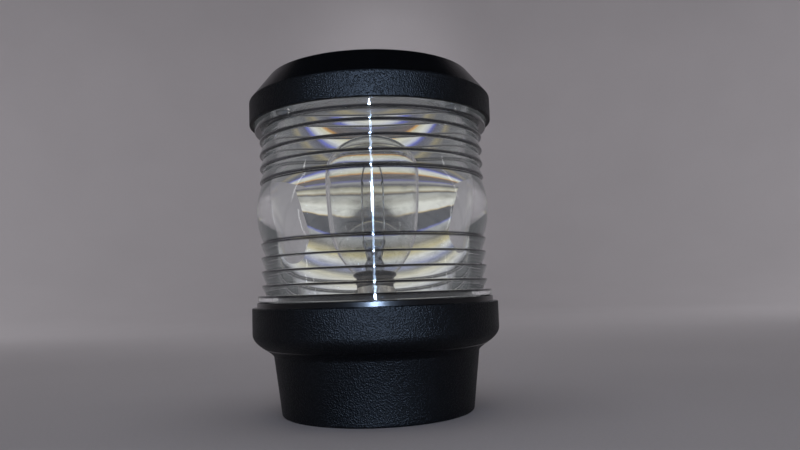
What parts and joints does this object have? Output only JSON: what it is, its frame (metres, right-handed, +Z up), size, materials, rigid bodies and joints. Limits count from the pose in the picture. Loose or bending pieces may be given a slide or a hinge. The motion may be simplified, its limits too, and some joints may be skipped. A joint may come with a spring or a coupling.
{
  "type": "all-round navigation light",
  "caption": "Round boat navigation light: black base and cap, clear stepped drum lens that turns to unlock and lifts off, and a bayonet bulb in a sprung holder.",
  "frame": {"origin": "centre of the base's flat underside", "axes": "+Z up along the lamp's axis through lens and cap; +X to the right and +Y away when the lamp is seen from its front; the terminal block is on the -Y side and the cable gland on the +Y side"},
  "size_m": [0.096, 0.096, 0.131],
  "materials": {
    "grained_black": "fine leather grain",
    "smooth_black": "smooth moulded",
    "clear_plastic": "clear polished",
    "glass": "clear",
    "rubber": "matt",
    "nickel": "nickel plated",
    "brass": "satin",
    "steel": "satin",
    "aluminium": "bright sheet",
    "tungsten": "drawn wire",
    "solder": "dull",
    "phenolic": "moulded",
    "block_plastic": "moulded",
    "red_sleeve": "soft sleeve",
    "black_sleeve": "soft sleeve"
  },
  "bodies": {
    "base": {"base_housing": "grained_black", "gland_body": "smooth_black", "gland_lock_nut": "smooth_black", "gland_seal": "rubber", "gland_cap_nut": "smooth_black", "terminal_block": "block_plastic", "terminal_clamp_1": "brass", "terminal_clamp_2": "brass", "terminal_screw_1": "steel", "terminal_screw_2": "steel", "terminal_screw_3": "steel", "terminal_screw_4": "steel", "block_screw": "steel", "wire_1": "red_sleeve", "wire_2": "black_sleeve", "lamp_carrier": "smooth_black", "carrier_screw_1": "steel", "carrier_screw_2": "steel", "carrier_screw_3": "steel", "holder_shell": "nickel", "holder_screw_1": "steel", "holder_screw_2": "steel", "holder_back": "phenolic", "contact_spring": "steel"},
    "seal": {"lens_seal": "rubber"},
    "lens_unit": {"lens": "clear_plastic", "cap": "grained_black", "cap_seal": "rubber", "heat_shield": "aluminium", "cap_screw_1": "steel", "cap_screw_2": "steel", "cap_screw_3": "steel"},
    "contacts": {"contact_block": "phenolic", "contact_pin_1": "brass", "contact_pin_2": "brass"},
    "bulb": {"bulb_glass": "glass", "bulb_stem": "glass", "lead_wire_1": "nickel", "lead_wire_2": "nickel", "filament": "tungsten", "bulb_shell": "nickel", "bulb_pin_1": "brass", "bulb_pin_2": "brass", "bulb_insulator": "phenolic", "solder_contact_1": "solder", "solder_contact_2": "solder"}
  },
  "joints": [
    {"name": "lens_turn", "type": "hinge", "parent": "base", "child": "seal", "pos_m": [0, 0, 0.0418], "axis": [0, 0, 1], "range_deg": [0, 25]},
    {"name": "lens_lift", "type": "slide", "parent": "seal", "child": "lens_unit", "axis": [0, 0, 1], "range_m": [0, 0.066]},
    {"name": "bulb_push", "type": "slide", "parent": "base", "child": "contacts", "axis": [0, 0, 1], "range_m": [-0.002, 0], "stiffness_N_per_m": 800, "springref_m": 0.004, "deforming": ["contact_spring", "wire_1", "wire_2"]},
    {"name": "bulb_turn", "type": "hinge", "parent": "contacts", "child": "bulb", "pos_m": [0, 0, 0.0545], "axis": [0, 0, 1], "range_deg": [0, 20]}
  ]
}
